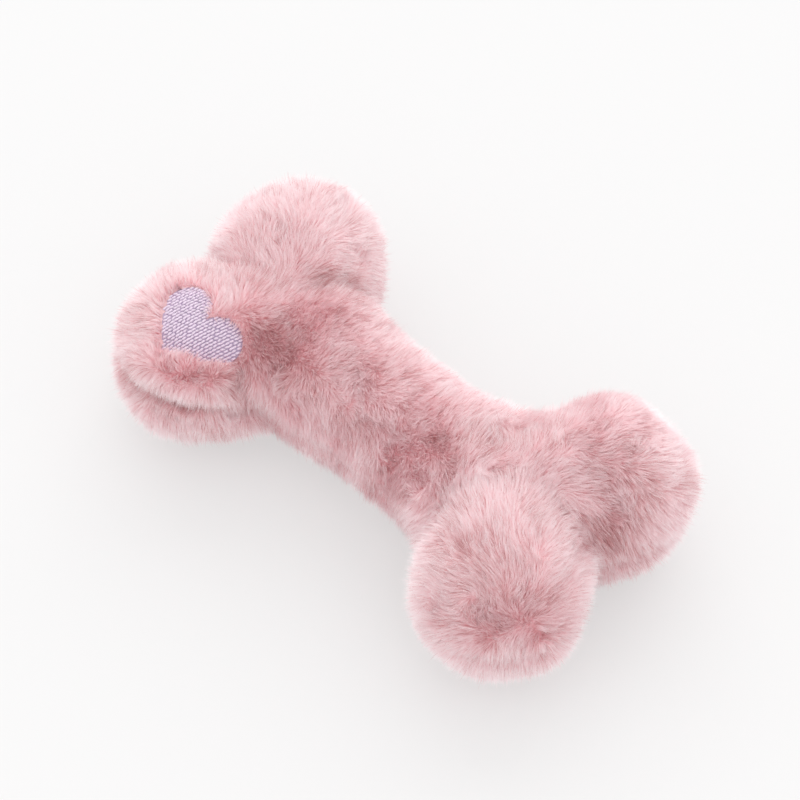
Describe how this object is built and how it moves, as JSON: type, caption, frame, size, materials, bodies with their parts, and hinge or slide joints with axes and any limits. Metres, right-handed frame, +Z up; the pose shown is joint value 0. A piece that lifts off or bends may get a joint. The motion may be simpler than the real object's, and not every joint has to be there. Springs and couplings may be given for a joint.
{
  "type": "squeaky dog toy",
  "caption": "Bone-shaped stuffed plush dog toy with rounded knuckles, a heart embroidered on one of them and a squeaker inside.",
  "frame": {"origin": "on the surface that the toy lies on, under the middle of its outline", "axes": "+X along the bone from the heart end to the plain end, +Y towards the back, +Z up"},
  "size_m": [0.23, 0.1312, 0.0704],
  "materials": {
    "plush": "long-pile faux rabbit fur, dusty pink",
    "seam_allowance": "turned-in fur fabric backing, dusty pink",
    "heart_thread": "embroidery thread, satin fill, lilac",
    "stabiliser": "non-woven sheet, white",
    "closing_thread": "polyester sewing thread, pink",
    "filling": "polyester fibre, white",
    "bulb_plastic": "soft low-density polyethylene, translucent white",
    "reed_plastic": "injection-moulded polyethylene, white",
    "reed_film": "polyester film, amber"
  },
  "bodies": {
    "shaft": {"plush_shaft_bottom": "plush", "seam_allowance_shaft_front": "seam_allowance", "seam_allowance_shaft_back": "seam_allowance", "closing_thread": "closing_thread", "filling_shaft_left": "filling", "filling_shaft_right": "filling", "filling_shaft_lower": "filling", "filling_squeaker_collar": "filling", "squeaker_bulb": "bulb_plastic", "squeaker_sleeve": "reed_plastic", "squeaker_reed_bed": "reed_plastic", "squeaker_reed_clamp": "reed_plastic"},
    "squeeze_zone": {"plush_shaft_top": "plush", "filling_shaft_upper": "filling"},
    "left_end": {"plush_knuckle_left_front_top": "plush", "plush_knuckle_left_front_bottom": "plush", "plush_knuckle_left_back_top": "plush", "plush_knuckle_left_back_bottom": "plush", "filling_knuckle_left_front": "filling", "filling_knuckle_left_back": "filling", "seam_allowance_left_end": "seam_allowance", "heart_embroidery": "heart_thread", "heart_stabiliser": "stabiliser"},
    "right_end": {"plush_knuckle_right_front_top": "plush", "plush_knuckle_right_front_bottom": "plush", "plush_knuckle_right_back_top": "plush", "plush_knuckle_right_back_bottom": "plush", "filling_knuckle_right_front": "filling", "filling_knuckle_right_back": "filling", "seam_allowance_right_end": "seam_allowance"},
    "reed": {"squeaker_reed": "reed_film"}
  },
  "joints": [
    {"name": "squeeze", "type": "slide", "parent": "shaft", "child": "squeeze_zone", "axis": [0, 0, -1], "range_m": [0, 0.01], "stiffness_N_per_m": 700, "deforming": ["plush_shaft_top", "filling_squeaker_collar", "squeaker_bulb"]},
    {"name": "left_bend", "type": "hinge", "parent": "shaft", "child": "left_end", "pos_m": [-0.01998, -0.00237, 0.0345], "axis": [0, -1, 0], "range_deg": [-15, 15], "stiffness_Nm_per_rad": 0.6},
    {"name": "right_bend", "type": "hinge", "parent": "shaft", "child": "right_end", "pos_m": [0.02042, -0.00237, 0.0345], "axis": [0, 1, 0], "range_deg": [-15, 15], "stiffness_Nm_per_rad": 0.6},
    {"name": "reed_flutter", "type": "hinge", "parent": "shaft", "child": "reed", "pos_m": [0.00022, -0.00237, 0.0256], "axis": [-1, 0, 0], "range_deg": [-1.5, 4], "stiffness_Nm_per_rad": 0.0016}
  ]
}
